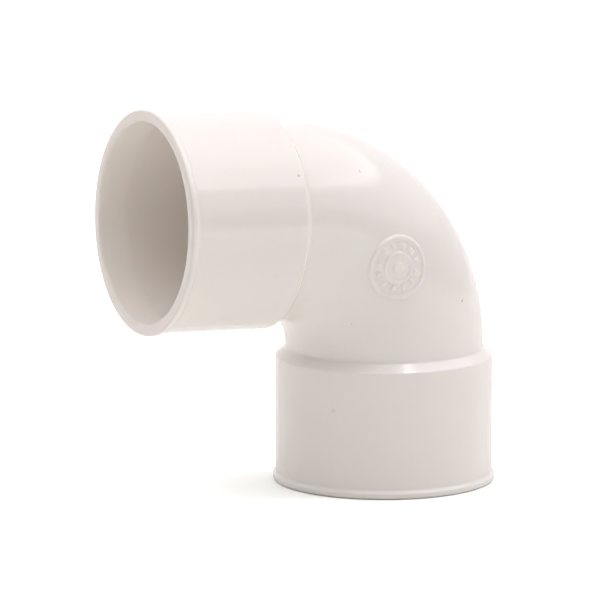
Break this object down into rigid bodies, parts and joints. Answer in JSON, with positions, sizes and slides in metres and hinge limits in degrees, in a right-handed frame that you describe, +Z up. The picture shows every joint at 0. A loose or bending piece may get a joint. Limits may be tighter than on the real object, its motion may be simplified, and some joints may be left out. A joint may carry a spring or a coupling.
{
  "type": "pipe elbow",
  "caption": "Moulded white PVC elbow with a socket at each end, turning a 40 mm pipe through 87.5 degrees.",
  "frame": {"origin": "middle of the footprint of the whole fitting, in the plane of the lower mouth, which it stands on", "axes": "+Z up along the lower socket's axis, away from its mouth; -X towards the other socket's mouth, which rises 2.5 degrees; +Y across the bend, the side without the raised round pad"},
  "size_m": [0.0804, 0.0468, 0.082],
  "materials": {
    "white_pvc": "moulded white PVC, semi-gloss, very slightly warm"
  },
  "bodies": {
    "root": {"elbow_body": "white_pvc"}
  },
  "joints": []
}
